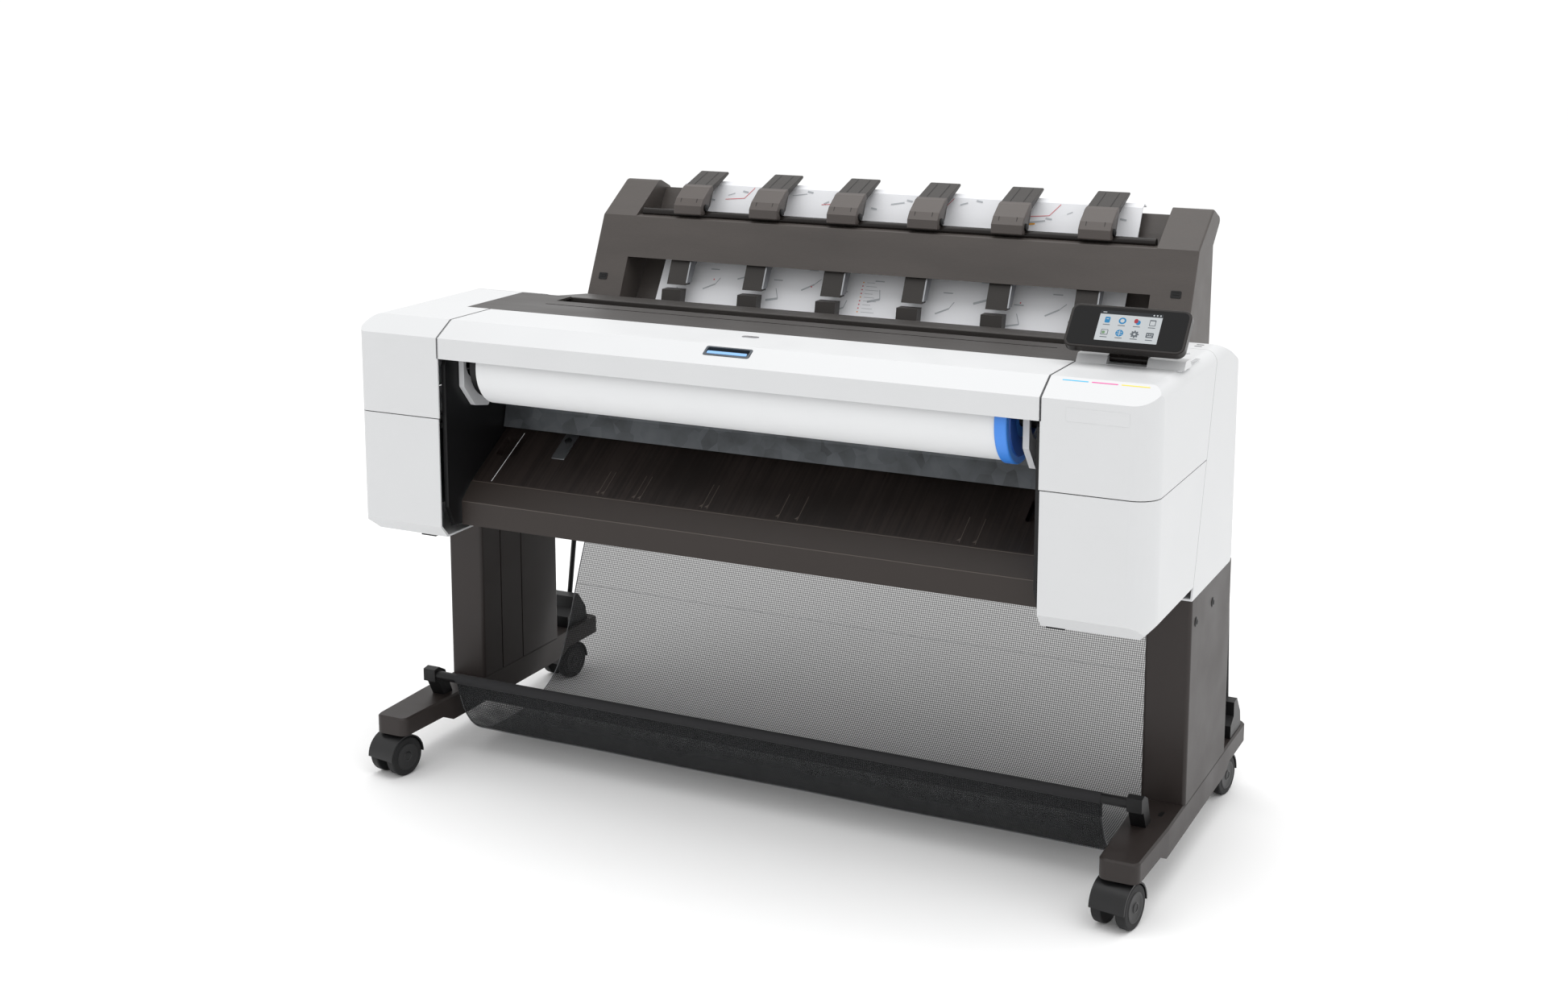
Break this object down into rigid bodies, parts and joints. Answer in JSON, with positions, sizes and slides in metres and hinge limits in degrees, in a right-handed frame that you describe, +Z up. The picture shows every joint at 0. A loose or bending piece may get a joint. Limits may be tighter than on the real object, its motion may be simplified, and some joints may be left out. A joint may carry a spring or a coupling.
{
  "type": "large format plotter",
  "caption": "Wheeled roll-fed plotter with end housings, hinged roll cover, touch panel, rear top stacker with clip arms, front tray and sling basket.",
  "frame": {"origin": "centre of the footprint on the floor, under the wheels", "axes": "+X to the right along the machine's width, -Y towards the user, +Z up"},
  "size_m": [1.3902, 0.787, 1.008],
  "materials": {
    "white_casing": "fine satin texture",
    "taupe_casing": "fine texture",
    "tray_plastic": "lengthwise lines",
    "black_plastic": "satin",
    "panel_frame": "satin",
    "blue_plastic": "satin",
    "cyan_insert": "satin",
    "stand_paint": "fine powder coat",
    "black_tube": "satin",
    "galvanised_sheet": "spangled",
    "machined_steel": "ground",
    "zinc_sheet": "plated",
    "roller_rubber": "matt",
    "caster_rubber": "matt",
    "caster_plastic": "satin",
    "roll_paper": "matt",
    "print_paper": "matt",
    "mesh_cloth": "woven mesh",
    "white_bracket": "satin",
    "cartridge_plastic": "satin"
  },
  "bodies": {
    "root": {"left_housing": "white_casing", "right_housing": "white_casing", "left_rear_cover": "white_casing", "right_rear_cover": "white_casing", "top_cover": "taupe_casing", "output_ramp": "taupe_casing", "base_frame": "zinc_sheet", "rear_cover": "white_casing", "side_plates": "black_plastic", "guide_plate": "galvanised_sheet", "front_tray": "tray_plastic", "roll_brackets": "white_bracket", "platen": "black_plastic", "carriage_rail": "machined_steel", "drive_belt": "roller_rubber", "service_station": "black_plastic", "power_supply": "zinc_sheet", "electronics_box": "zinc_sheet", "power_inlet": "black_plastic", "ink_cartridges": "cartridge_plastic", "display_bracket": "white_casing", "legs": "stand_paint", "feet": "stand_paint", "cross_brace": "stand_paint", "basket_tubes": "black_tube", "basket_fittings": "black_plastic", "basket_mesh": "mesh_cloth", "stacker_cheeks": "taupe_casing", "stacker_band": "taupe_casing", "stacker_back": "taupe_casing", "stacked_prints": "print_paper", "lower_arms": "taupe_casing"},
    "roll_cover": {"roll_cover": "white_casing", "cover_handle": "cyan_insert"},
    "spindle": {"paper_roll": "roll_paper", "spindle": "black_plastic", "blue_stop": "blue_plastic"},
    "feed_roller": {"feed_roller": "roller_rubber"},
    "pinch_rollers": {"pinch_rollers": "roller_rubber"},
    "carriage": {"carriage": "black_plastic"},
    "drive_pulley": {"drive_pulley": "machined_steel"},
    "idler_pulley": {"idler_pulley": "machined_steel"},
    "display": {"display_panel": "panel_frame"},
    "power_button": {"power_button": "white_casing"},
    "left_ink_door": {"left_ink_door": "white_casing"},
    "right_ink_door": {"right_ink_door": "white_casing"},
    "clip_arm_1": {"clip_arm_1": "taupe_casing"},
    "clip_arm_2": {"clip_arm_2": "taupe_casing"},
    "clip_arm_3": {"clip_arm_3": "taupe_casing"},
    "clip_arm_4": {"clip_arm_4": "taupe_casing"},
    "clip_arm_5": {"clip_arm_5": "taupe_casing"},
    "clip_arm_6": {"clip_arm_6": "taupe_casing"},
    "front_left_fork": {"front_left_fork": "caster_plastic"},
    "front_left_wheels": {"front_left_wheels": "caster_rubber"},
    "front_right_fork": {"front_right_fork": "caster_plastic"},
    "front_right_wheels": {"front_right_wheels": "caster_rubber"},
    "rear_left_fork": {"rear_left_fork": "caster_plastic"},
    "rear_left_wheels": {"rear_left_wheels": "caster_rubber"},
    "rear_right_fork": {"rear_right_fork": "caster_plastic"},
    "rear_right_wheels": {"rear_right_wheels": "caster_rubber"}
  },
  "joints": [
    {"name": "roll_cover_hinge", "type": "hinge", "parent": "root", "child": "roll_cover", "pos_m": [0, -0.223, 0.819], "axis": [-1, 0, 0], "range_deg": [0, 40]},
    {"name": "spindle_turn", "type": "hinge", "parent": "root", "child": "spindle", "pos_m": [0, -0.295, 0.74], "axis": [1, 0, 0], "continuous": true},
    {"name": "feed_turn", "type": "hinge", "parent": "root", "child": "feed_roller", "pos_m": [0, -0.152, 0.702], "axis": [1, 0, 0], "continuous": true},
    {"name": "pinch_turn", "type": "hinge", "parent": "root", "child": "pinch_rollers", "pos_m": [0, -0.152, 0.7283], "axis": [1, 0, 0], "continuous": true},
    {"name": "carriage_slide", "type": "slide", "parent": "root", "child": "carriage", "axis": [1, 0, 0], "range_m": [-0.52, 0.29]},
    {"name": "drive_pulley_turn", "type": "hinge", "parent": "root", "child": "drive_pulley", "pos_m": [0.492, -0.052, 0.792], "axis": [0, 0, 1], "continuous": true},
    {"name": "idler_pulley_turn", "type": "hinge", "parent": "root", "child": "idler_pulley", "pos_m": [-0.492, -0.052, 0.792], "axis": [0, 0, 1], "continuous": true},
    {"name": "display_tilt", "type": "hinge", "parent": "root", "child": "display", "pos_m": [0.602, -0.204, 0.8235], "axis": [1, 0, 0], "range_deg": [-35, 3]},
    {"name": "power_button_press", "type": "slide", "parent": "root", "child": "power_button", "axis": [0, 0, -1], "range_m": [0, 0.002], "stiffness_N_per_m": 400, "springref_m": -0.001},
    {"name": "left_door_hinge", "type": "hinge", "parent": "root", "child": "left_ink_door", "pos_m": [-0.6942, -0.15, 0.55], "axis": [0, 0, -1], "range_deg": [0, 75]},
    {"name": "right_door_hinge", "type": "hinge", "parent": "root", "child": "right_ink_door", "pos_m": [0.6942, -0.15, 0.55], "axis": [0, 0, 1], "range_deg": [0, 75]},
    {"name": "clip_1_lift", "type": "hinge", "parent": "root", "child": "clip_arm_1", "pos_m": [-0.4, 0.258, 0.944], "axis": [1, 0, 0], "range_deg": [0, 35]},
    {"name": "clip_2_lift", "type": "hinge", "parent": "root", "child": "clip_arm_2", "pos_m": [-0.24, 0.258, 0.944], "axis": [1, 0, 0], "range_deg": [0, 35]},
    {"name": "clip_3_lift", "type": "hinge", "parent": "root", "child": "clip_arm_3", "pos_m": [-0.08, 0.258, 0.944], "axis": [1, 0, 0], "range_deg": [0, 35]},
    {"name": "clip_4_lift", "type": "hinge", "parent": "root", "child": "clip_arm_4", "pos_m": [0.08, 0.258, 0.944], "axis": [1, 0, 0], "range_deg": [0, 35]},
    {"name": "clip_5_lift", "type": "hinge", "parent": "root", "child": "clip_arm_5", "pos_m": [0.24, 0.258, 0.944], "axis": [1, 0, 0], "range_deg": [0, 35]},
    {"name": "clip_6_lift", "type": "hinge", "parent": "root", "child": "clip_arm_6", "pos_m": [0.4, 0.258, 0.944], "axis": [1, 0, 0], "range_deg": [0, 35]},
    {"name": "front_left_swivel", "type": "hinge", "parent": "root", "child": "front_left_fork", "pos_m": [-0.656, -0.336, 0.08], "axis": [0, 0, 1], "continuous": true},
    {"name": "front_left_roll", "type": "hinge", "parent": "front_left_fork", "child": "front_left_wheels", "pos_m": [-0.65999, -0.35865, 0.0345], "axis": [0.9848, -0.1736, 0], "continuous": true},
    {"name": "front_right_swivel", "type": "hinge", "parent": "root", "child": "front_right_fork", "pos_m": [0.656, -0.336, 0.08], "axis": [0, 0, 1], "continuous": true},
    {"name": "front_right_roll", "type": "hinge", "parent": "front_right_fork", "child": "front_right_wheels", "pos_m": [0.65201, -0.35865, 0.0345], "axis": [0.9848, -0.1736, 0], "continuous": true},
    {"name": "rear_left_swivel", "type": "hinge", "parent": "root", "child": "rear_left_fork", "pos_m": [-0.656, 0.215, 0.08], "axis": [0, 0, 1], "continuous": true},
    {"name": "rear_left_roll", "type": "hinge", "parent": "rear_left_fork", "child": "rear_left_wheels", "pos_m": [-0.65999, 0.19235, 0.0345], "axis": [0.9848, -0.1736, 0], "continuous": true},
    {"name": "rear_right_swivel", "type": "hinge", "parent": "root", "child": "rear_right_fork", "pos_m": [0.656, 0.215, 0.08], "axis": [0, 0, 1], "continuous": true},
    {"name": "rear_right_roll", "type": "hinge", "parent": "rear_right_fork", "child": "rear_right_wheels", "pos_m": [0.65201, 0.19235, 0.0345], "axis": [0.9848, -0.1736, 0], "continuous": true}
  ],
  "couplings": [
    {"joint": "pinch_turn", "follows": "feed_turn", "ratio": -2.25},
    {"joint": "drive_pulley_turn", "follows": "carriage_slide", "rad_per_m": -78.125},
    {"joint": "idler_pulley_turn", "follows": "carriage_slide", "rad_per_m": -78.125}
  ]
}
